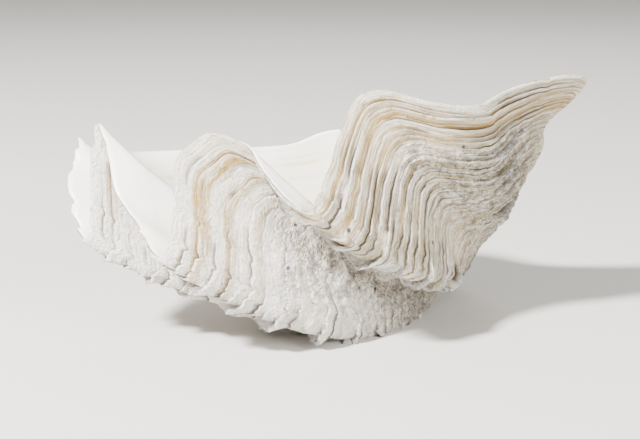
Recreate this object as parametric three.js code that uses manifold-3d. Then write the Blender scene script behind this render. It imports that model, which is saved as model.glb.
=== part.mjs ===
// One valve of a giant clam, lying belly down with its hollow facing up.
//
// A clam shell is its own growth record. The margin is the newest growth line, and every older
// line is the same curve, smaller, turned a little about the hinge line and drawn in towards the
// umbo where the shell began. The outside here is swept in that way from one closed margin curve.
// The inside follows it at the shell's thickness, with the folds fading out towards the umbo.
//
// Millimetres. +X along the shell's length towards the pointed end of the hinge, +Y towards the
// smooth side of the margin, +Z up. The origin is on the ground under the middle of the shell.
import * as THREE from 'three';
import { mergeVertices } from 'three/addons/utils/BufferGeometryUtils.js';
import Module from 'manifold-3d';

// Growth
const UMBO = new THREE.Vector3(108, 100, 20);
const HINGE_LINE = new THREE.Vector3(1, -0.5, 1.5).normalize();
const COIL_ANGLE = 0.72; // turn about the hinge line from umbo to margin, radians
const BELLY_FULLNESS = 34; // how far the belly swells down behind the last rib
const BELLY_SPREAD = 4; // in landmarks to each side

// Thickness of the shell wall
const RIM_THICKNESS = 3.5;
const BODY_THICKNESS = 8;
const HINGE_PLATE_THICKNESS = 8; // extra, where the two valves were hinged
const HINGE_PLATE_SPREAD = 2.2; // in landmarks to each side

// Stages are sizes relative to the grown shell: 0 at the umbo, 1 at the margin
const HOLLOW_STAGE = 0.5; // the inside follows the outside from here to the margin
const FULL_FOLD_STAGE = 0.8; // the folds outside are at full depth from here to the margin
const YOUNG_FOLD_WINDOW = 6; // half the stretch of margin that evens out the youngest folds

// The belly is worn flat up to this height in the frame of the landmarks
const GROUND_LEVEL = 3.5;

// The hollow stays this far above the worn flat, and eases towards it over this height
const FLAT_WALL_THICKNESS = 3.5;
const FLAT_WALL_EASE = 1.5;

// The floor of the hollow, over the solid shell beside the umbo
const FLOOR_CENTRE = new THREE.Vector3(62, 14, 34);

// Fineness of the faceted solid
const STEPS_PER_LANDMARK = 3;
const OUTER_ROWS = 15;
const INNER_ROWS = 8;
const FLOOR_ROWS = 5;

// The margin, landmark by landmark. The folded side runs from the hinge tip around the far end:
// ribs end in its notches, and teeth stand up between them.
const FOLDED_SIDE = [
  [198, 36, 178], // hinge tip
  [190, 27, 182],
  [166, 14, 182],
  [134, -10, 177],
  [107, -30, 168], // end of rib C, a shallow notch
  [76, -42, 172],
  [37, -48, 182], // tooth 3
  [22, -55, 178],
  [10, -68, 156],
  [2, -89, 135],
  [-4, -102, 121],
  [-10, -110, 112],
  [-19, -112, 109], // end of rib B
  [-29, -106, 113],
  [-44, -97, 129],
  [-56, -88, 146],
  [-67, -80, 151],
  [-83, -72, 155], // tooth 2
  [-95, -76, 148],
  [-104, -84, 141],
  [-107, -92, 128],
  [-106, -98, 109],
  [-108, -103, 92],
  [-111, -105, 80],
  [-116, -103, 73], // end of rib A
  [-122, -96, 74],
  [-127, -89, 83],
  [-136, -84, 95],
  [-150, -68, 112],
  [-156, -50, 132],
  [-168, -28, 154], // tooth 1
  [-171, -36, 137],
  [-170, -50, 110],
  [-170, -57, 92],
  [-171, -61, 81],
  [-174, -58, 74], // end of rib Z
  [-179, -49, 74],
  [-184, -37, 83],
  [-192, -20, 103],
  [-192, 0, 123],
  [-191, 12, 136], // tooth 0
];
// The smooth side runs back to the hinge
const SMOOTH_SIDE = [
  [-184, 40, 127],
  [-153, 84, 113],
  [-122, 104, 111],
  [-64, 118, 112],
  [-30, 121, 116],
  [11, 118, 128],
  [48, 117, 116],
  [84, 112, 96],
  [112, 104, 87], // hinge plate, beside the umbo
  [136, 92, 98],
  [155, 74, 126],
  [172, 56, 156],
  [190, 46, 170],
];
const MARGIN = [...FOLDED_SIDE, ...SMOOTH_SIDE];
const STRAIGHT_LANDMARK = FOLDED_SIDE.length + 4; // here the shell grows straight, without coiling
const STRAIGHT_SPREAD = 5; // in landmarks to each side
const BELLY_LANDMARK = FOLDED_SIDE.length;
const HINGE_LANDMARK = FOLDED_SIDE.length + 8;
const TIGHT_LANDMARKS = [0, 12, 24, 35, 49]; // hinge tip, ends of ribs B, A and Z, hinge plate
const TIGHT_SPREAD = 4;

// Places that grew fuller or slimmer than the rest, in landmarks and stages, with the push in mm
const PUSHED_PLACES = [
  { landmark: 0, spread: 3, stage: 0.79, reach: 0.11, push: new THREE.Vector3(-12, 0, 0) }, // below the tip
  { landmark: 3, spread: 2.5, stage: 0.38, reach: 0.15, push: new THREE.Vector3(7, 0, 0) }, // rib C
  { landmark: 12, spread: 3, stage: 0.55, reach: 0.2, push: new THREE.Vector3(0, 0, 12) }, // rib B
  { landmark: 35, spread: 3, stage: 0.77, reach: 0.15, push: new THREE.Vector3(0, 0, 10) }, // rib Z
];

const marginCurve = new THREE.CatmullRomCurve3(
  MARGIN.map(([x, y, z]) => new THREE.Vector3(x, y, z)),
  true,
  'centripetal',
);

const wrap = (share) => share - Math.floor(share);

function smoothStep(low, high, value) {
  const x = Math.min(1, Math.max(0, (value - low) / (high - low)));
  return x * x * (3 - 2 * x);
}

// The margin with its folds evened out, as the mean of the margin over a window around one place
function evenMargin(share, windowShare) {
  const taps = 12;
  const mean = new THREE.Vector3();
  for (let i = -taps; i <= taps; i += 1) {
    mean.add(marginCurve.getPoint(wrap(share + (windowShare * i) / taps)));
  }
  return mean.divideScalar(2 * taps + 1);
}

// 1 at a landmark of the margin, falling off smoothly to both sides
function nearLandmark(share, landmark, spread) {
  const steps = Math.abs(wrap(share) * MARGIN.length - landmark);
  const apart = Math.min(steps, MARGIN.length - steps) / spread;
  return Math.exp(-apart * apart);
}

function coilAngle(share, stage) {
  const coiling = 1 - nearLandmark(share, STRAIGHT_LANDMARK, STRAIGHT_SPREAD);
  return COIL_ANGLE * coiling * (1 - stage * stage);
}

// Where a margin point was when the shell had reached a stage of its growth
function grow(marginPoint, share, stage) {
  const arm = marginPoint.clone().sub(UMBO);
  arm.applyAxisAngle(HINGE_LINE, coilAngle(share, stage));
  const point = arm.multiplyScalar(stage).add(UMBO);
  const swelling = 6.75 * stage * (1 - stage) ** 2; // 1 at a third of the size
  point.z -= BELLY_FULLNESS * swelling * nearLandmark(share, BELLY_LANDMARK, BELLY_SPREAD);
  PUSHED_PLACES.forEach((place) => {
    const apart = (stage - place.stage) / place.reach;
    const strength = nearLandmark(share, place.landmark, place.spread) * Math.exp(-apart * apart);
    point.addScaledVector(place.push, strength);
  });
  return point;
}

// The folds were shallower while the shell was young
function outerPoint(share, stage) {
  const windowShare = (YOUNG_FOLD_WINDOW * (1 - smoothStep(0.1, FULL_FOLD_STAGE, stage))) / MARGIN.length;
  return grow(evenMargin(share, windowShare), share, stage);
}

function inwardNormal(share, stage) {
  const step = 0.6 / MARGIN.length;
  const along = outerPoint(share + step, stage).sub(outerPoint(share - step, stage));
  const out = outerPoint(share, stage + 0.004).sub(outerPoint(share, stage - 0.004));
  return along.cross(out).normalize();
}

// The wall stays thin where the margin bends tightly
function wallThickness(share, stage) {
  const bends = TIGHT_LANDMARKS.map((landmark) => nearLandmark(share, landmark, TIGHT_SPREAD));
  const room = 1 - Math.max(...bends);
  const grown = 1 - smoothStep(HOLLOW_STAGE, 1, stage);
  const thinnest = RIM_THICKNESS * Math.min(1, stage / FULL_FOLD_STAGE);
  return thinnest + (BODY_THICKNESS - RIM_THICKNESS) * room * grown;
}

// The hinge plate is a thick shelf on the inside of the margin beside the umbo
function hingePlate(share, stage) {
  const nearHinge = nearLandmark(share, HINGE_LANDMARK, HINGE_PLATE_SPREAD);
  return HINGE_PLATE_THICKNESS * nearHinge * smoothStep(0.5, 1, stage);
}

function ring(columns, pointAt) {
  return Array.from({ length: columns }, (_, i) => pointAt(i / columns));
}

function centreOf(points) {
  const sum = new THREE.Vector3();
  points.forEach((point) => sum.add(point));
  return sum.divideScalar(points.length);
}

// Lifts the inside clear of the worn flat. Heights keep their order, so the inside can't fold over.
function liftOffFlat(point) {
  const lowest = GROUND_LEVEL + FLAT_WALL_THICKNESS;
  const above = (point.z - lowest) / FLAT_WALL_EASE;
  point.z = lowest + FLAT_WALL_EASE * (above > 20 ? above : Math.log1p(Math.exp(above)));
  return point;
}

function innerRing(columns, stage) {
  const outer = ring(columns, (share) => outerPoint(share, stage));
  const middle = centreOf(outer);
  return outer.map((point, i) => {
    const share = i / columns;
    const plate = middle.clone().sub(point).setLength(hingePlate(share, stage));
    point.addScaledVector(inwardNormal(share, stage), wallThickness(share, stage)).add(plate);
    return liftOffFlat(point);
  });
}

// Rings from the umbo outwards over the outside, across the rim, and down the inside to the floor
// of the hollow
function shellRings(columns) {
  const rings = [];
  for (let row = 1; row <= OUTER_ROWS; row += 1) {
    const stage = row / OUTER_ROWS;
    rings.push(ring(columns, (share) => outerPoint(share, stage)));
  }
  for (let row = 0; row <= INNER_ROWS; row += 1) {
    const stage = 1 - ((1 - HOLLOW_STAGE) * row) / INNER_ROWS;
    rings.push(innerRing(columns, stage));
  }
  return rings;
}

// Smaller and smaller rings that close the floor of the hollow: steep at first, level in the middle
function floorRings(lastRing) {
  const rings = [];
  for (let row = 1; row <= FLOOR_ROWS; row += 1) {
    const inwards = row / (FLOOR_ROWS + 1);
    const downwards = 1 - (1 - inwards) ** 1.5;
    rings.push(lastRing.map((point) => {
      const next = point.clone().lerp(FLOOR_CENTRE, inwards);
      next.z = point.z + (FLOOR_CENTRE.z - point.z) * downwards;
      return next;
    }));
  }
  return rings;
}

function meshFromRings(firstPole, rings, lastPole) {
  const columns = rings[0].length;
  const positions = [firstPole, ...rings.flat(), lastPole].flatMap((p) => [p.x, p.y, p.z]);
  const vertex = (row, column) => 1 + row * columns + (column % columns);
  const last = positions.length / 3 - 1;
  const faces = [];
  for (let i = 0; i < columns; i += 1) {
    faces.push(0, vertex(0, i), vertex(0, i + 1));
    faces.push(last, vertex(rings.length - 1, i + 1), vertex(rings.length - 1, i));
    for (let row = 0; row + 1 < rings.length; row += 1) {
      const [a, b] = [vertex(row, i), vertex(row, i + 1)];
      const [c, d] = [vertex(row + 1, i), vertex(row + 1, i + 1)];
      faces.push(a, c, b, b, c, d);
    }
  }
  return { positions, faces };
}

function buildShell() {
  const columns = MARGIN.length * STEPS_PER_LANDMARK;
  const rings = shellRings(columns);
  rings.push(...floorRings(rings[rings.length - 1]));
  return meshFromRings(UMBO, rings, FLOOR_CENTRE);
}

const wasm = await Module();
wasm.setup();

function solidFrom(positions, faces) {
  return new wasm.Manifold(new wasm.Mesh({
    numProp: 3,
    vertProperties: Float32Array.from(positions),
    triVerts: Uint32Array.from(faces),
  }));
}

function groundBlock() {
  const box = new THREE.BoxGeometry(600, 600, 100).translate(0, 0, GROUND_LEVEL - 50);
  box.deleteAttribute('normal');
  box.deleteAttribute('uv');
  const merged = mergeVertices(box);
  return solidFrom(merged.attributes.position.array, merged.index.array);
}

function geometryFrom(solid) {
  const mesh = solid.getMesh();
  const geometry = new THREE.BufferGeometry();
  geometry.setAttribute('position', new THREE.BufferAttribute(mesh.vertProperties, 3));
  geometry.setIndex(new THREE.BufferAttribute(mesh.triVerts, 1));
  return geometry;
}

// The belly is worn flat where the shell rests, and the origin moves to the ground under its middle
const { positions, faces } = buildShell();
const geometry = geometryFrom(solidFrom(positions, faces).subtract(groundBlock()));
geometry.computeBoundingBox();
const middle = geometry.boundingBox.getCenter(new THREE.Vector3());
geometry.translate(-middle.x, -middle.y, -GROUND_LEVEL);
geometry.computeVertexNormals();
const group = new THREE.Group();
const material = new THREE.MeshStandardMaterial({ color: 0xe8e3d9, roughness: 0.75, metalness: 0 });
const shell = new THREE.Mesh(geometry, material);
shell.name = 'shell';
group.add(shell);
export default group;
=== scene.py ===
import math

import bpy
import numpy as np
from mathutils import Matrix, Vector


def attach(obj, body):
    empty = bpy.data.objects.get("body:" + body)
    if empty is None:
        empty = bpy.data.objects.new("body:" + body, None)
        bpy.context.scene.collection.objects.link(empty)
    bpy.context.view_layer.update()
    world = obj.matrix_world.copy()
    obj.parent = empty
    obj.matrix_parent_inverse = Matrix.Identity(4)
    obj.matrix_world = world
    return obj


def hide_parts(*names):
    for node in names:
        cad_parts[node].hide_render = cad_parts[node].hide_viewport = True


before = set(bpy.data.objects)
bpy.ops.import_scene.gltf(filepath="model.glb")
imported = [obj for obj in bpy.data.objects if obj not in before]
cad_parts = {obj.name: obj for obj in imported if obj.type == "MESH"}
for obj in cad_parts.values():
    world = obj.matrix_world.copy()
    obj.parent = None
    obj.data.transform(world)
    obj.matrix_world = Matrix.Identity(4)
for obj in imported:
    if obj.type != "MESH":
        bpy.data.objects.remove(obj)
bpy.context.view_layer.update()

# A giant clam valve lying on its belly. The shell grows out of its umbo: every ring of the surface is the
# margin at an earlier stage, smaller and turned about the hinge line. A share says how far round the margin a
# place is, and a stage how far out from the umbo, both from 0 to 1. Spreads are counted in landmarks. Lengths
# are in millimetres until the mesh is made, in the frame of the margin's landmarks.

FRAME_SHIFT = np.array([-2.514, -4.497, -3.5])  # from the landmarks' frame to the part's frame
UMBO = np.array([108.0, 100.0, 20.0])
HINGE_LINE = np.array([1.0, -0.5, 1.5]) / np.linalg.norm([1.0, -0.5, 1.5])
COIL_ANGLE = 0.72
STRAIGHT_SPREAD = 5
BELLY_FULLNESS = 34.0
BELLY_SPREAD = 4
RIM_THICKNESS = 3.5
BODY_THICKNESS = 8.0
TIGHT_SPREAD = 4
HINGE_PLATE_THICKNESS = 8.0
HINGE_PLATE_SPREAD = 2.2
HOLLOW_STAGE = 0.5
FIRST_FOLD_STAGE = 0.1
FULL_FOLD_STAGE = 0.8
YOUNG_FOLD_WINDOW = 6.0
FLOOR_CENTRE = np.array([62.0, 14.0, 34.0])
GROUND_LEVEL = 3.5
FLAT_WALL_THICKNESS = 3.5
FLAT_WALL_EASE = 1.5

# The margin seen from above, clockwise from the pointed hinge tip along the folded side
FOLDED_SIDE = [
    (198, 36, 178), (190, 27, 182), (166, 14, 182), (134, -10, 177), (107, -30, 168), (76, -42, 172),
    (37, -48, 182), (22, -55, 178), (10, -68, 156), (2, -89, 135), (-4, -102, 121), (-10, -110, 112),
    (-19, -112, 109), (-29, -106, 113), (-44, -97, 129), (-56, -88, 146), (-67, -80, 151), (-83, -72, 155),
    (-95, -76, 148), (-104, -84, 141), (-107, -92, 128), (-106, -98, 109), (-108, -103, 92), (-111, -105, 80),
    (-116, -103, 73), (-122, -96, 74), (-127, -89, 83), (-136, -84, 95), (-150, -68, 112), (-156, -50, 132),
    (-168, -28, 154), (-171, -36, 137), (-170, -50, 110), (-170, -57, 92), (-171, -61, 81), (-174, -58, 74),
    (-179, -49, 74), (-184, -37, 83), (-192, -20, 103), (-192, 0, 123), (-191, 12, 136),
]
SMOOTH_SIDE = [
    (-184, 40, 127), (-153, 84, 113), (-122, 104, 111), (-64, 118, 112), (-30, 121, 116), (11, 118, 128),
    (48, 117, 116), (84, 112, 96), (112, 104, 87), (136, 92, 98), (155, 74, 126), (172, 56, 156),
    (190, 46, 170),
]
MARGIN = np.array(FOLDED_SIDE + SMOOTH_SIDE, float)
LANDMARKS = len(MARGIN)
BELLY_LANDMARK = len(FOLDED_SIDE)
STRAIGHT_LANDMARK = len(FOLDED_SIDE) + 4
HINGE_LANDMARK = len(FOLDED_SIDE) + 8
TIGHT_LANDMARKS = (0, 12, 24, 35, 49)

# Places that grew fuller or slimmer than the rest: landmark, spread, stage, reach, push in mm
PUSHED_PLACES = [
    (0, 3.0, 0.79, 0.11, (-12, 0, 0)),
    (3, 2.5, 0.38, 0.15, (7, 0, 0)),
    (12, 3.0, 0.55, 0.20, (0, 0, 12)),
    (35, 3.0, 0.77, 0.15, (0, 0, 10)),
]

# Growth layers, each ending in a lip that stands a little proud of the next
LAYERS = 36
FIRST_STAGE = 0.05
LAYER_WIDTHS = (0.6, 1.4)  # the narrowest and the widest, next to an even layer
LAYER_NARROWING = (1.25, 0.85)  # from the umbo to the margin
LAYER_ROWS = (0.04, 0.4, 0.75, 0.96)  # rows of the mesh within one layer, the last on its lip
COLUMNS = 500
RIM_ROWS = 3
INSIDE_ROWS = 26
FLOOR_ROWS = 12
FLOOR_STAGE = 0.1  # the stage given to the middle of the floor, for its colours

WORN_EDGE = 0.002
CHIP_DEPTH = 0.012
CHIP_RARITY = 0.35
BROKEN_LANDMARK = 38.5
BROKEN_SPREAD = 1.8
BROKEN_DEPTH = 0.012
RIM_ROUNDING = 1.1
RIM_UNEVENNESS = 0.25
INSIDE_UNEVENNESS = 0.35

# Rib crests that carry curled scales: landmark, scale height, half width in landmarks
SCALED_RIBS = [(3.6, 9.0, 1.1), (12.0, 8.5, 2.0), (24.2, 8.0, 1.8), (35.3, 6.0, 1.5)]
SMALL_SCALES = (0.0, 0.18)  # the least and the most, as shares of the rib's scale height
BIG_SCALES = (0.55, 1.1)
BIG_SCALE_EVERY = 3


# ---------- smooth random fields ----------

def blend(low, high, value):
    """An eased step from 0 at low to 1 at high. It falls if high is the smaller."""
    x = np.clip((value - low) / (high - low), 0, 1)
    return x * x * (3 - 2 * x)


def strip_noise(share, row, cells, seed):
    """Random values from -1 to 1, smooth from layer to layer and round the closed margin."""
    table = np.random.default_rng(seed).uniform(-1, 1, (cells, 64))
    x = (share % 1) * cells
    i, j = np.floor(x).astype(int), np.floor(row).astype(int)
    a, b = blend(0, 1, x - i), blend(0, 1, row - j)
    near = table[i % cells, j % 64] * (1 - b) + table[i % cells, (j + 1) % 64] * b
    far = table[(i + 1) % cells, j % 64] * (1 - b) + table[(i + 1) % cells, (j + 1) % 64] * b
    return near * (1 - a) + far * a


def space_noise(points, size, seed):
    """Random values from -1 to 1 in space, smooth over a distance of about size."""
    table = np.random.default_rng(seed).uniform(-1, 1, (32, 32, 32))
    at = points / size
    cell = np.floor(at).astype(int)
    part = blend(0, 1, at - cell)
    total = np.zeros(points.shape[:-1])
    for corner in np.ndindex(2, 2, 2):
        x, y, z = ((cell[..., k] + corner[k]) % 32 for k in range(3))
        weights = [part[..., k] if corner[k] else 1 - part[..., k] for k in range(3)]
        total += table[x, y, z] * weights[0] * weights[1] * weights[2]
    return total


# ---------- growth ----------

def margin_points(share):
    """A closed centripetal Catmull-Rom curve through the landmarks."""
    at = (share % 1) * LANDMARKS
    first = np.floor(at).astype(int)
    w = (at - first)[..., None]
    p0, p1, p2, p3 = (MARGIN[(first + k) % LANDMARKS] for k in (-1, 0, 1, 2))
    pairs = ((p0, p1), (p1, p2), (p2, p3))
    d0, d1, d2 = (np.sqrt(np.linalg.norm(b - a, axis=-1))[..., None] for a, b in pairs)
    t1 = ((p1 - p0) / d0 - (p2 - p0) / (d0 + d1) + (p2 - p1) / d1) * d1
    t2 = ((p2 - p1) / d1 - (p3 - p1) / (d1 + d2) + (p3 - p2) / d2) * d1
    return (
        (2 * w**3 - 3 * w**2 + 1) * p1
        + (w**3 - 2 * w**2 + w) * t1
        + (3 * w**2 - 2 * w**3) * p2
        + (w**3 - w**2) * t2
    )


FINE_STEPS = 200 * LANDMARKS
fine_margin = margin_points(np.arange(FINE_STEPS) / FINE_STEPS)
pair_means = (fine_margin + np.roll(fine_margin, -1, axis=0)) / 2
margin_sums = np.vstack([np.zeros(3), np.cumsum(pair_means, axis=0)]) / FINE_STEPS


def margin_sum(share):
    """The margin summed from the hinge tip to a share of its way round."""
    turns = np.floor(share)
    at = (share - turns) * FINE_STEPS
    step = np.minimum(at.astype(int), FINE_STEPS - 1)
    part = (at - step)[..., None]
    return margin_sums[step] * (1 - part) + margin_sums[step + 1] * part + turns[..., None] * margin_sums[-1]


def even_margin(share, window):
    """The mean of the margin over a window to both sides, which evens out its folds."""
    window = np.maximum(window, 0.02 / LANDMARKS)
    return (margin_sum(share + window) - margin_sum(share - window)) / (2 * window)[..., None]


def near_landmark(share, landmark, spread):
    """1 at a landmark, falling away over a spread of landmarks to both sides."""
    steps = np.abs((share % 1) * LANDMARKS - landmark)
    return np.exp(-((np.minimum(steps, LANDMARKS - steps) / spread) ** 2))


def outer_points(share, stage):
    """The smooth outside of the shell. Share and stage are arrays of one shape."""
    window = YOUNG_FOLD_WINDOW * (1 - blend(FIRST_FOLD_STAGE, FULL_FOLD_STAGE, stage)) / LANDMARKS
    arm = even_margin(share, window) - UMBO
    coiling = 1 - near_landmark(share, STRAIGHT_LANDMARK, STRAIGHT_SPREAD)
    angle = (COIL_ANGLE * coiling * (1 - stage**2))[..., None]
    along_hinge = (arm @ HINGE_LINE)[..., None]
    turned = arm * np.cos(angle) + np.cross(HINGE_LINE, arm) * np.sin(angle)
    turned += HINGE_LINE * along_hinge * (1 - np.cos(angle))
    points = UMBO + turned * stage[..., None]
    swelling = 6.75 * stage * (1 - stage) ** 2  # 1 at its largest, a third of the way out
    points[..., 2] -= BELLY_FULLNESS * swelling * near_landmark(share, BELLY_LANDMARK, BELLY_SPREAD)
    for landmark, spread, at, reach, push in PUSHED_PLACES:
        strength = near_landmark(share, landmark, spread) * np.exp(-(((stage - at) / reach) ** 2))
        points += strength[..., None] * np.array(push, float)
    return points


def directions(share, stage):
    """Unit vectors into the hollow and along the growth."""
    share_step = 0.6 / LANDMARKS
    stage_step = 0.004
    along = outer_points(share + share_step, stage) - outer_points(share - share_step, stage)
    out = outer_points(share, stage + stage_step) - outer_points(share, stage - stage_step)
    inward = np.cross(along, out)
    inward /= np.linalg.norm(inward, axis=-1, keepdims=True)
    return inward, out / np.linalg.norm(out, axis=-1, keepdims=True)


def wall_thickness(share, stage):
    bends = [near_landmark(share, landmark, TIGHT_SPREAD) for landmark in TIGHT_LANDMARKS]
    room = 1 - np.max(bends, axis=0)
    grown = 1 - blend(HOLLOW_STAGE, 1, stage)
    thinnest = RIM_THICKNESS * np.minimum(1, stage / FULL_FOLD_STAGE)
    return thinnest + (BODY_THICKNESS - RIM_THICKNESS) * room * grown


def inner_points(share, stage):
    """The smooth inside of the shell, with the hinge plate's shelf. Each row is one ring."""
    outer = outer_points(share, stage)
    inward, _ = directions(share, stage)
    to_middle = outer.mean(axis=1, keepdims=True) - outer
    to_middle /= np.linalg.norm(to_middle, axis=-1, keepdims=True)
    plate = HINGE_PLATE_THICKNESS * near_landmark(share, HINGE_LANDMARK, HINGE_PLATE_SPREAD)
    plate = plate * blend(HOLLOW_STAGE, 1, stage)
    points = outer + inward * wall_thickness(share, stage)[..., None] + to_middle * plate[..., None]
    lowest = GROUND_LEVEL + FLAT_WALL_THICKNESS
    points[..., 2] = lowest + FLAT_WALL_EASE * np.logaddexp(0, (points[..., 2] - lowest) / FLAT_WALL_EASE)
    return points


# ---------- layers, lips and scales ----------

def layer_edges():
    """The stages where one growth layer ends and the next begins."""
    widths = np.random.default_rng(3).uniform(*LAYER_WIDTHS, LAYERS)
    widths *= np.linspace(*LAYER_NARROWING, LAYERS)
    ends = np.concatenate([[0], np.cumsum(widths)])
    return FIRST_STAGE + (1 - FIRST_STAGE) * ends / ends[-1]


def margin_wear(share):
    """How far the margin is broken back, as a share of its growth."""
    same_row = 0 * share
    chips = np.maximum(0, strip_noise(share, same_row, cells=160, seed=11) - CHIP_RARITY) * CHIP_DEPTH
    broken = BROKEN_DEPTH + BROKEN_DEPTH * strip_noise(share, same_row, cells=220, seed=12)
    return WORN_EDGE + chips + near_landmark(share, BROKEN_LANDMARK, BROKEN_SPREAD) * broken


def layer_stage(share, row):
    """The stage at a place within the layers, with ragged lips and the worn margin."""
    broken = blend(0.97, 0.72, row / LAYERS)
    ragged = (0.08 + 0.26 * broken) * strip_noise(share, row / 3, cells=60, seed=5)
    ragged += (0.03 + 0.1 * broken) * strip_noise(share, row / 1.5, cells=260, seed=6)
    ragged *= blend(0, 2, row) * blend(0, 2.5, LAYERS - row)
    stage = np.interp(row + ragged, np.arange(LAYERS + 1), layer_edges())
    return stage * (1 - margin_wear(share) * blend(0.7, 1, stage))


def scale_height(share, layer, stage):
    """The height of the curled scales, with a big one on every third layer of a rib's crest."""
    height = np.zeros_like(share)
    for rib, (landmark, tall, spread) in enumerate(SCALED_RIBS):
        random = np.random.default_rng(20 + rib)
        sizes = random.uniform(*SMALL_SCALES, LAYERS + 1)
        big = np.arange(rib % BIG_SCALE_EVERY, LAYERS, BIG_SCALE_EVERY)
        sizes[big] = random.uniform(*BIG_SCALES, len(big))
        offset = random.uniform(-0.5, 0.5, LAYERS + 1)[layer]
        height += tall * sizes[layer] * near_landmark(share - offset / LANDMARKS, landmark, spread)
    notched = 1 + 0.25 * strip_noise(share, layer * 1.7, cells=130, seed=9)
    return height * notched * blend(0.15, 0.6, stage)


def lip_height(share, layer, stage, points, worn):
    """How far each layer's lip stands out, most on the first fold and near the umbo."""
    piled = near_landmark(share, landmark=6.5, spread=3.5)
    common = 0.85 + 0.55 * piled * blend(0.45, 0.9, stage) + 0.9 * blend(0.65, 0.4, stage)
    uneven = 1 + 0.9 * strip_noise(share, layer.astype(float), cells=70, seed=8)
    kept = blend(-0.4, 0.2, space_noise(points, size=20, seed=43) + 1.3 * (stage - 0.7))
    return common * np.maximum(0.1, uneven) * blend(0.1, 0.5, stage) * kept * (1 - 0.75 * worn)


def worn_places(points, share, stage):
    """1 where the outside is eaten away to a crust, 0 where its growth lines are fresh."""
    spongy = 0.95 * near_landmark(share, landmark=16.5, spread=5.0)
    spongy = spongy * blend(0.3, 0.5, stage) * blend(0.91, 0.72, stage)
    grainy = near_landmark(share, landmark=4.5, spread=2.8)
    grainy = grainy * blend(0.58, 0.7, stage) * blend(0.92, 0.82, stage)
    older_side = 0.2 * near_landmark(share, landmark=2.5, spread=3.5)
    near_umbo = (0.75 + older_side) * blend(0.7 + older_side, 0.35 + older_side, stage)
    worn = near_umbo + spongy + 0.9 * grainy
    lipped = 0.9 * near_landmark(share, landmark=10.8, spread=2.6) * blend(0.4, 0.55, stage)
    return np.clip((worn + 0.35 * space_noise(points, size=14, seed=44)) * (1 - lipped), 0, 1)


def wear_depth(points, worn):
    """How far the surface is worn or pitted inwards from place to place."""
    broad = (0.7 + 0.9 * worn) * space_noise(points, size=26, seed=40)
    middle = (0.3 + 0.6 * worn) * space_noise(points, size=8, seed=41)
    return broad + middle + (0.15 + 1.5 * worn) * space_noise(points, size=4.4, seed=42)


def column_shares():
    """Columns stand closer together on the folds and rib crests than on the smooth side."""
    fine = (np.arange(4000) + 0.5) / 4000
    density = 0.62 + 0.5 * (fine * LANDMARKS < len(FOLDED_SIDE))
    density = density + sum(0.9 * near_landmark(fine, rib[0], 1.3) for rib in SCALED_RIBS)
    reached = np.concatenate([[0], np.cumsum(density)]) / density.sum()
    return np.interp(np.arange(COLUMNS) / COLUMNS, reached, np.arange(4001) / 4000)


SHARES = column_shares()


def outside():
    """Rings of points over the outside, from the umbo to the margin, and their fields."""
    rows = [layer + part for layer in range(LAYERS) for part in LAYER_ROWS]
    row, share = np.meshgrid(np.array(rows + [LAYERS]), SHARES, indexing="ij")
    layer = np.minimum(np.floor(row).astype(int), LAYERS - 1)
    part = row - layer
    stage = layer_stage(share, row)
    points = outer_points(share, stage)
    inward, out = directions(share, stage)
    scales = scale_height(share, layer, stage)
    worn = worn_places(points, share, stage)
    lips = lip_height(share, layer, stage, points, worn)
    tapered = 1 - 0.75 * blend(LAYERS - 1.2, LAYERS, row)
    rise = (lips * part**1.5 + scales * part**1.6) * tapered
    lean = (0.3 * lips + 0.4 * scales) * part**2 * tapered
    wear = wear_depth(points, worn) * blend(0.02, 0.3, stage) * tapered
    points = points - inward * (rise + wear)[..., None] + out * lean[..., None]
    points[..., 2] = np.maximum(points[..., 2], GROUND_LEVEL)
    fields = {
        "inside": np.zeros_like(share),
        "growth": row,
        "share": share,
        "stage": stage,
        "worn": worn,
        "lip": blend(0.6, 1, part) * np.clip(0.25 + 0.3 * lips + 0.4 * scales, 0, 1),
        # painted shadow: the dark band just past each lip, where the lip's shadow falls
        "crevice_shadow": blend(0.3, 0, part) * np.clip(0.6 * lips + 0.2 * scales, 0, 1),
    }
    return points, fields


def inside_fields(share, stage, amount):
    """The fields of the smooth inside. Across the rim the amount rises from 0 to 1."""
    zero = np.zeros_like(share)
    return {
        "inside": zero + amount,
        "growth": stage * LAYERS,
        "share": share,
        "stage": stage,
        "worn": zero,
        "lip": zero,
        "crevice_shadow": zero,
    }


def inside():
    """The rim's rounded edge and the hollow, from the margin inwards."""
    depths = np.linspace(0, 1, INSIDE_ROWS) ** 1.15
    stage, share = np.meshgrid(1 - (1 - HOLLOW_STAGE) * depths, SHARES, indexing="ij")
    stage = stage * (1 - margin_wear(share) * blend(0.7, 1, stage))
    points = inner_points(share, stage)
    inward, _ = directions(share, stage)
    unevenness = INSIDE_UNEVENNESS * space_noise(points, size=30, seed=50) * blend(1, 0.9, stage)
    points = points + inward * unevenness[..., None]
    return points, inside_fields(share, stage, 1)


def rim(outer_row, inner_row, share, stage):
    """Rows across the rim's thickness, rounded towards the growth."""
    across = (np.arange(RIM_ROWS) + 1.0) / (RIM_ROWS + 1)
    _, out = directions(share, stage)
    rows = []
    for part in across:
        rounding = RIM_ROUNDING * math.sin(math.pi * part)
        round_out = rounding + RIM_UNEVENNESS * space_noise(outer_row, size=2.5, seed=60)
        rows.append(outer_row * (1 - part) + inner_row * part + out * round_out[:, None])
    return np.array(rows), across


def floor(last_ring):
    """Rings that close the hollow, from its last ring down to the middle of its floor."""
    inwards = (np.arange(FLOOR_ROWS) + 1.0) / (FLOOR_ROWS + 1)
    rows = []
    for part in inwards:
        ring = last_ring * (1 - part) + FLOOR_CENTRE * part
        down = 1 - (1 - part) ** 1.5
        ring[:, 2] = last_ring[:, 2] * (1 - down) + FLOOR_CENTRE[2] * down
        rows.append(ring)
    return np.array(rows)


# ---------- mesh ----------

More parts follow.
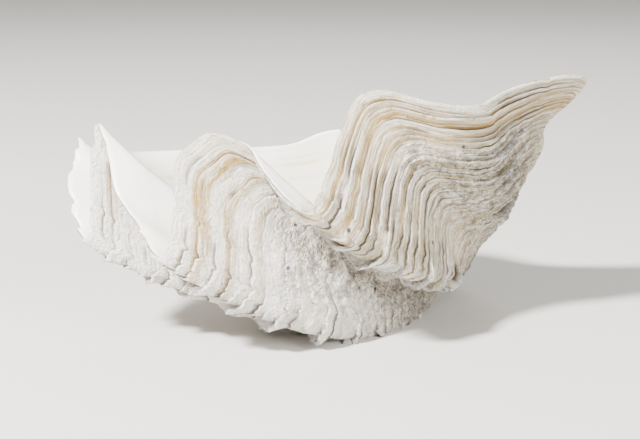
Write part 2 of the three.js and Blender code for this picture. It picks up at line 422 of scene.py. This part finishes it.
def ring_faces(rows, columns):
    """Faces of a closed skin: a pole, rings of vertices and a second pole."""
    i = np.arange(columns)
    j = (i + 1) % columns
    first = np.stack([np.zeros(columns, int), 1 + j, 1 + i], axis=1)
    start = 1 + (rows - 1) * columns
    last = np.stack([start + i, start + j, np.full(columns, 1 + rows * columns)], axis=1)
    quads = []
    for row in range(rows - 1):
        near, far = 1 + row * columns, 1 + (row + 1) * columns
        quads.append(np.stack([near + i, near + j, far + j, far + i], axis=1))
    return first.tolist() + np.concatenate(quads).tolist() + last.tolist()


def joined(parts):
    return {name: np.concatenate([part[name] for part in parts]) for name in parts[0]}


def shell_mesh():
    outer, outer_fields = outside()
    inner, inner_fields = inside()
    edge_stage = outer_fields["stage"][-1]
    edge, across = rim(outer[-1], inner[0], SHARES, edge_stage)
    share, amount = np.meshgrid(SHARES, across)
    edge_fields = inside_fields(share, np.broadcast_to(edge_stage, share.shape), amount)
    bottom = floor(inner[-1])
    low_stage = np.linspace(HOLLOW_STAGE, FLOOR_STAGE, FLOOR_ROWS)
    stage, share = np.meshgrid(low_stage, SHARES, indexing="ij")
    bottom_fields = inside_fields(share, stage, 1)
    rings = np.concatenate([outer, edge, inner, bottom])
    fields = joined([outer_fields, edge_fields, inner_fields, bottom_fields])
    points = np.vstack([UMBO, rings.reshape(-1, 3), FLOOR_CENTRE])
    mesh = bpy.data.meshes.new("clam_shell")
    mesh.from_pydata(((points + FRAME_SHIFT) / 1000).tolist(), [], ring_faces(len(rings), COLUMNS))
    for name, values in fields.items():
        flat = values.reshape(-1)
        ends = np.concatenate([[flat[0]], flat, [flat[-1]]]).astype(np.float32)
        mesh.attributes.new(name, "FLOAT", "POINT").data.foreach_set("value", ends)
    mesh.polygons.foreach_set("use_smooth", np.ones(len(mesh.polygons), bool))
    mesh.update()
    return mesh


# ---------- material ----------

# Colours as they look on a screen, from 0 to 255
CHALK = (250, 244, 234)
WARM_CHALK = (230, 214, 186)
FINE_LINE = (148, 126, 80)
WIDE_LINE = (178, 154, 96)
CLOUD = (166, 148, 106)
# partly a neutral tone, partly painted light on the left side
PALE_TONE_AND_PAINTED_LIGHT = (244, 240, 236)
OLD_PALE = (196, 182, 156)
OLD_DARK = (122, 106, 76)
STAIN = (162, 128, 44)
SPECK = (110, 84, 54)
FRESH_EDGE = (250, 246, 236)
# painted shade in the grooves of the fine growth lines
GROOVE_SHADE = (128, 108, 82)
# painted shade in the hollows of the worn crust
HOLLOW_SHADE = (112, 92, 66)
WHITE_LIP = (244, 240, 232)
# painted shadow for the crevices under the lips
CREVICE_SHADOW = (70, 46, 24)
# painted shade inside the small borings
PIT_SHADE = (48, 34, 22)
PORCELAIN = (248, 247, 243)
WARM_PORCELAIN = (240, 234, 222)
INNER_STREAK = (214, 200, 168)
MANTLE_LINE = (206, 178, 110)
FLOOR_GREY = (206, 204, 200)

# Noise in growth space is drawn out along the growth lines: its radius and its rise with each layer
GROWTH_RADIUS = 4.0
GROWTH_RISE = 2.6

FINE_LINES_IN_LAYER = 3.0
MANTLE_LINE_STAGE = 0.87  # the faint line inside where the mantle was attached
MANTLE_LINE_SWAY = 0.025
MANTLE_LINE_REACH = 0.02

OUTSIDE_ROUGHNESS = 0.82
INSIDE_ROUGHNESS = 0.3
SPECULAR = 0.45
FLOOR_ROUGHNESS = 0.9
BUMP_STRENGTH = 0.85
BUMP_DISTANCE = 0.0036
INSIDE_BUMP = 0.04

# Stained bands along growth lines: landmark, spread in landmarks, stage, reach in stages, strength
TAN_STAINS = [
    (19.0, 6.5, 0.950, 0.016, 1.0),
    (19.5, 5.5, 0.900, 0.011, 0.7),
    (19.5, 5.0, 0.845, 0.009, 0.35),
    (8.0, 4.0, 0.975, 0.010, 0.8),
    (8.0, 4.5, 0.935, 0.014, 0.9),
    (7.5, 4.5, 0.885, 0.013, 0.7),
    (6.0, 4.5, 0.810, 0.010, 0.4),
    (4.0, 3.5, 0.945, 0.020, 1.0),
    (1.5, 2.5, 0.890, 0.035, 0.9),
    (28.5, 4.0, 0.955, 0.018, 1.0),
    (27.5, 3.5, 0.880, 0.014, 0.7),
    (38.0, 3.0, 0.750, 0.060, 0.4),
    (46.0, 6.0, 0.930, 0.018, 0.7),
    (46.0, 6.0, 0.840, 0.012, 0.5),
]


def colour(tone):
    """A linear colour from one given as it looks on a screen."""
    linear = [((value / 255 + 0.055) / 1.055) ** 2.4 for value in tone]
    return (*linear, 1.0)


class Nodes:
    """Small helpers for building one node tree."""

    def __init__(self, name):
        self.material = bpy.data.materials.new(name)
        self.material.use_nodes = True
        self.tree = self.material.node_tree
        self.shader = self.tree.nodes["Principled BSDF"]

    def link(self, value, socket):
        if isinstance(value, bpy.types.NodeSocket):
            self.tree.links.new(value, socket)
        else:
            socket.default_value = value

    def field(self, name):
        node = self.tree.nodes.new("ShaderNodeAttribute")
        node.attribute_name = name
        return node.outputs["Fac"]

    def maths(self, kind, *values):
        node = self.tree.nodes.new("ShaderNodeMath")
        node.operation = kind
        for socket, value in zip(node.inputs, values):
            self.link(value, socket)
        return node.outputs[0]

    def times(self, a, b):
        return self.maths("MULTIPLY", a, b)

    def plus(self, a, b):
        return self.maths("ADD", a, b)

    def minus(self, a, b):
        return self.maths("SUBTRACT", a, b)

    def ramp(self, value, low, high, to_low=0.0, to_high=1.0):
        node = self.tree.nodes.new("ShaderNodeMapRange")
        node.interpolation_type = "SMOOTHSTEP"
        for socket, number in zip(node.inputs, (value, low, high, to_low, to_high)):
            self.link(number, socket)
        return node.outputs[0]

    def vector(self, x, y, z):
        node = self.tree.nodes.new("ShaderNodeCombineXYZ")
        for socket, value in zip(node.inputs, (x, y, z)):
            self.link(value, socket)
        return node.outputs[0]

    def noise(self, vector, scale, detail=3.0, rough=0.5):
        node = self.tree.nodes.new("ShaderNodeTexNoise")
        self.link(vector, node.inputs["Vector"])
        self.link(scale, node.inputs["Scale"])
        self.link(detail, node.inputs["Detail"])
        self.link(rough, node.inputs["Roughness"])
        return node.outputs["Fac"]

    def noise_colour(self, vector, scale):
        node = self.tree.nodes.new("ShaderNodeTexNoise")
        self.link(vector, node.inputs["Vector"])
        self.link(scale, node.inputs["Scale"])
        return node.outputs["Color"]

    def cells(self, vector, scale):
        """The distance to the nearest of many scattered points, and a random colour for that point."""
        node = self.tree.nodes.new("ShaderNodeTexVoronoi")
        self.link(vector, node.inputs["Vector"])
        self.link(scale, node.inputs["Scale"])
        return node.outputs["Distance"], node.outputs["Color"]

    def random(self, value):
        node = self.tree.nodes.new("ShaderNodeTexWhiteNoise")
        node.noise_dimensions = "1D"
        self.link(value, node.inputs["W"])
        return node.outputs["Value"]

    def mix(self, amount, a, b):
        node = self.tree.nodes.new("ShaderNodeMix")
        node.data_type = "RGBA"
        self.link(amount, node.inputs[0])
        self.link(a, node.inputs[6])
        self.link(b, node.inputs[7])
        return node.outputs[2]


class ShellNodes(Nodes):
    """The shell's node tree, with the fields of the mesh that its looks follow."""

    def __init__(self):
        super().__init__("clam_shell")
        self.place = self.tree.nodes.new("ShaderNodeTexCoord").outputs["Object"]
        self.share = self.field("share")
        self.stage = self.field("stage")
        self.growth = self.field("growth")
        self.worn = self.field("worn")
        self.within = self.ramp(self.field("inside"), 0.35, 0.8)
        self.rings = self.growth_space()
        self.ragged = self.noise(self.place, scale=160.0, detail=3.0, rough=0.6)

    def growth_space(self):
        turn = self.times(self.share, 2 * math.pi)
        return self.vector(
            self.times(self.maths("COSINE", turn), GROWTH_RADIUS),
            self.times(self.maths("SINE", turn), GROWTH_RADIUS),
            self.times(self.growth, GROWTH_RISE),
        )

    def patch(self, landmark, spread, at, reach):
        """1 around a place on the shell, given by landmark and stage, falling to 0 around it."""
        across = self.maths("DIVIDE", self.minus(self.share, landmark / LANDMARKS), spread / LANDMARKS)
        along = self.maths("DIVIDE", self.minus(self.stage, at), reach)
        apart = self.plus(self.times(across, across), self.times(along, along))
        return self.ramp(apart, 1.6, 0.1)


def fine_layers(n):
    """Fine growth lines between the layers: the height across each, its raised edge, and the painted shade in
    its groove.
    """
    drift = n.times(n.noise(n.rings, scale=0.6, detail=3.0, rough=0.5), 3.0)
    wobble = n.times(n.noise(n.place, scale=70.0, detail=3.0, rough=0.55), 0.9)
    phase = n.plus(n.times(n.growth, FINE_LINES_IN_LAYER), n.plus(drift, wobble))
    height = n.maths("FRACT", phase)
    strength = n.ramp(n.noise(n.rings, scale=1.1, detail=3.0, rough=0.6), 0.36, 0.6, 0.25, 1.0)
    edge = n.times(n.ramp(height, 0.7, 0.98), strength)
    groove_shade = n.times(n.ramp(height, 0.22, 0.0), strength)
    return height, edge, groove_shade


def pits(n):
    """Small round borings, in a few of many scattered places."""
    distance, kind = n.cells(n.place, scale=90.0)
    return n.times(n.ramp(distance, 0.2, 0.1), n.ramp(n.random(kind), 0.86, 0.9))


def crust_hollows(n):
    """The hollows of the crust where the outside is worn, sunk in the bump and given painted shade in the
    colour.
    """
    return n.times(n.ramp(n.noise(n.place, scale=210.0, detail=4.0, rough=0.6), 0.5, 0.36), n.worn)


def fresh_colour(n):
    """The chalky outside with its brown growth lines, darker near the umbo. Past the second fold it is paler,
    partly a more neutral tone of its own and partly painted light from the left.
    """
    layer_tone = n.random(n.maths("FLOOR", n.growth))
    fine_lines = n.noise(n.rings, scale=2.4, detail=4.0, rough=0.6)
    wide_lines = n.noise(n.rings, scale=0.8, detail=3.0, rough=0.55)
    cloud = n.noise(n.place, scale=24.0, detail=4.0, rough=0.6)
    base = n.mix(n.ramp(layer_tone, 0.1, 0.9), colour(CHALK), colour(WARM_CHALK))
    base = n.mix(n.ramp(fine_lines, 0.5, 0.57, 0, 0.85), base, colour(FINE_LINE))
    base = n.mix(n.ramp(wide_lines, 0.53, 0.6, 0, 0.75), base, colour(WIDE_LINE))
    base = n.mix(n.ramp(cloud, 0.5, 0.66, 0, 0.5), base, colour(CLOUD))
    # Partly painted light: past the second fold the left side is made paler, as if lit from the left, as well
    # as more neutral in tone
    past_second_fold = n.ramp(n.share, 0.2, 0.42)
    base = n.mix(n.times(past_second_fold, 0.68), base, colour(PALE_TONE_AND_PAINTED_LIGHT))
    old = n.mix(n.ramp(cloud, 0.4, 0.6), colour(OLD_PALE), colour(OLD_DARK))
    return n.mix(n.ramp(n.stage, 0.8, 0.35, 0, 0.65), base, old)


def stain_amount(n):
    """How strongly the tan bands show, broken up along the growth lines."""
    stain = None
    for *band, strength in TAN_STAINS:
        spot = n.times(n.patch(*band), strength)
        stain = spot if stain is None else n.maths("MAXIMUM", stain, spot)
    broken = n.ramp(n.noise(n.rings, scale=1.3, detail=4.0, rough=0.6), 0.3, 0.5, 0.35, 1.0)
    return n.times(stain, broken)


def outside_colour(n, edge, groove_shade, hollows, pit):
    speck = n.noise(n.place, scale=300.0, detail=4.0, rough=0.65)
    base = n.mix(stain_amount(n), fresh_colour(n), colour(STAIN))
    base = n.mix(n.ramp(speck, 0.54, 0.7, 0, 0.35), base, colour(SPECK))
    base = n.mix(n.times(edge, 0.6), base, colour(FRESH_EDGE))
    # Painted shade: the grooves of the fine growth lines are darkened in the colour
    base = n.mix(n.times(groove_shade, 0.62), base, colour(GROOVE_SHADE))
    # Painted shade: the hollows of the worn crust are darkened in the colour
    base = n.mix(n.times(hollows, 0.5), base, colour(HOLLOW_SHADE))
    white_lip = n.times(n.field("lip"), n.ramp(n.ragged, 0.25, 0.5))
    base = n.mix(n.maths("MINIMUM", white_lip, 0.9), base, colour(WHITE_LIP))
    # Painted shadow: the crevice just past each lip is darkened in the colour, standing in for the lip's
    # shadow
    dark = n.times(n.maths("MINIMUM", n.times(n.field("crevice_shadow"), 1.3), 1.0), 0.85)
    base = n.mix(dark, base, colour(CREVICE_SHADOW))
    # Painted shade: the small borings are darkened in the colour, standing in for the shade inside them
    return n.mix(n.times(pit, 0.9), base, colour(PIT_SHADE))


def inside_colour(n):
    """Smooth porcelain with faint streaks and a broken yellow line where the mantle was attached."""
    cloud = n.noise(n.place, scale=14.0, detail=2.0, rough=0.5)
    base = n.mix(n.ramp(cloud, 0.4, 0.7), colour(PORCELAIN), colour(WARM_PORCELAIN))
    streak = n.noise(n.rings, scale=0.35, detail=2.0, rough=0.5)
    base = n.mix(n.ramp(streak, 0.6, 0.68, 0, 0.22), base, colour(INNER_STREAK))
    lowest = MANTLE_LINE_STAGE - MANTLE_LINE_SWAY
    highest = MANTLE_LINE_STAGE + MANTLE_LINE_SWAY
    from_line = n.maths("ABSOLUTE", n.minus(n.stage, n.ramp(streak, 0.3, 0.7, lowest, highest)))
    still_showing = n.ramp(n.noise(n.place, scale=26.0, detail=3.0, rough=0.6), 0.42, 0.62, 0.1, 0.6)
    line = n.times(n.ramp(from_line, MANTLE_LINE_REACH, 0.0), still_showing)
    return n.mix(line, base, colour(MANTLE_LINE))


def fine_relief(n, layer_height, hollows, pit):
    """Relief too fine for the mesh: growth lines, grain, lumps, crust and pits, all faint inside."""
    fine_lines = n.noise(n.rings, scale=2.2, detail=4.0, rough=0.65)
    grain = n.noise(n.place, scale=520.0, detail=4.0, rough=0.65)
    lumps = n.noise(n.place, scale=150.0, detail=3.0, rough=0.6)
    crumbs, _ = n.cells(n.mix(0.006, n.place, n.noise_colour(n.place, scale=160.0)), scale=330.0)
    crust = n.minus(n.ramp(crumbs, 0.0, 0.7, 0.8, 0.0), n.times(hollows, 1.3))
    height = n.plus(fine_lines, n.times(grain, 0.9))
    height = n.plus(height, n.times(lumps, 1.3))
    height = n.plus(height, n.times(layer_height, 0.25))
    height = n.plus(height, n.times(crust, n.times(n.worn, 2.2)))
    height = n.minus(height, n.times(pit, 1.2))
    return n.times(height, n.ramp(n.within, 0, 1, 1.0, INSIDE_BUMP))


def add_bump(n, height):
    bump = n.tree.nodes.new("ShaderNodeBump")
    bump.inputs["Strength"].default_value = BUMP_STRENGTH
    bump.inputs["Distance"].default_value = BUMP_DISTANCE
    n.link(height, bump.inputs["Height"])
    n.link(bump.outputs[0], n.shader.inputs["Normal"])


def shell_material():
    n = ShellNodes()
    layer_height, edge, groove_shade = fine_layers(n)
    hollows = crust_hollows(n)
    pit = pits(n)
    outer = outside_colour(n, edge, groove_shade, hollows, pit)
    n.link(n.mix(n.within, outer, inside_colour(n)), n.shader.inputs["Base Color"])
    roughness = n.ramp(n.within, 0, 1, OUTSIDE_ROUGHNESS, INSIDE_ROUGHNESS)
    uneven = n.ramp(n.ragged, 0.3, 0.7, -0.04, 0.06)
    n.link(n.plus(roughness, uneven), n.shader.inputs["Roughness"])
    n.shader.inputs["Specular IOR Level"].default_value = SPECULAR
    add_bump(n, fine_relief(n, layer_height, hollows, pit))
    return n.material


# ---------- floor, light and camera, in metres ----------

FLOOR_REACH = 6

# Soft round lamps: name, place, what it is aimed at, width, watts, colour
LAMPS = [
    ("key", (-1.6, -1.2, 1.9), (0, 0, 0.08), 0.4, 400, (1.0, 0.99, 0.96)),
    ("fill", (1.7, -1.6, 0.9), (0, 0, 0.08), 1.2, 85, (1.0, 0.99, 0.96)),
    ("back", (0.3, 1.8, 1.6), (0, 0, 0.1), 1.4, 18, (1.0, 1.0, 1.0)),
]
STUDIO_COLOUR = (1.0, 0.985, 0.96, 1.0)
STUDIO_STRENGTH = 0.5

CAMERA_AIM = (-0.0077, -0.0045, 0.0745)
CAMERA_DISTANCE = 1.2
CAMERA_TILT = 12
LENS = 90
SENSOR_WIDTH = 36


def floor_material():
    material = bpy.data.materials.new("floor")
    material.use_nodes = True
    shader = material.node_tree.nodes["Principled BSDF"]
    shader.inputs["Base Color"].default_value = colour(FLOOR_GREY)
    shader.inputs["Roughness"].default_value = FLOOR_ROUGHNESS
    return material


def add_floor():
    mesh = bpy.data.meshes.new("floor")
    r = FLOOR_REACH
    corners = [(-r, -r, 0), (r, -r, 0), (r, r, 0), (-r, r, 0)]
    mesh.from_pydata(corners, [], [(0, 1, 2, 3)])
    mesh.materials.append(floor_material())
    ground = bpy.data.objects.new("floor", mesh)
    bpy.context.collection.objects.link(ground)


def add_light(name, place, aim, size, watts, tone):
    data = bpy.data.lights.new(name, "AREA")
    data.shape = "DISK"
    data.size = size
    data.energy = watts
    data.color = tone
    lamp = bpy.data.objects.new(name, data)
    lamp.location = place
    lamp.rotation_euler = (Vector(aim) - Vector(place)).to_track_quat("-Z", "Y").to_euler()
    bpy.context.collection.objects.link(lamp)


def add_lights():
    for lamp in LAMPS:
        add_light(*lamp)
    world = bpy.data.worlds.new("studio")
    world.use_nodes = True
    world.node_tree.nodes["Background"].inputs["Color"].default_value = STUDIO_COLOUR
    world.node_tree.nodes["Background"].inputs["Strength"].default_value = STUDIO_STRENGTH
    bpy.context.scene.world = world


def add_camera():
    tilt = math.radians(CAMERA_TILT)
    data = bpy.data.cameras.new("camera")
    data.lens = LENS
    data.sensor_width = SENSOR_WIDTH
    camera = bpy.data.objects.new("camera", data)
    camera.location = Vector(CAMERA_AIM) + CAMERA_DISTANCE * Vector((0, -math.cos(tilt), math.sin(tilt)))
    camera.rotation_euler = (math.pi / 2 - tilt, 0, 0)
    bpy.context.collection.objects.link(camera)
    bpy.context.scene.camera = camera


shell = bpy.data.objects.new("clam_shell", shell_mesh())
shell.data.materials.append(shell_material())
bpy.context.collection.objects.link(shell)
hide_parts("shell")
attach(shell, "root")
add_floor()
add_lights()
add_camera()
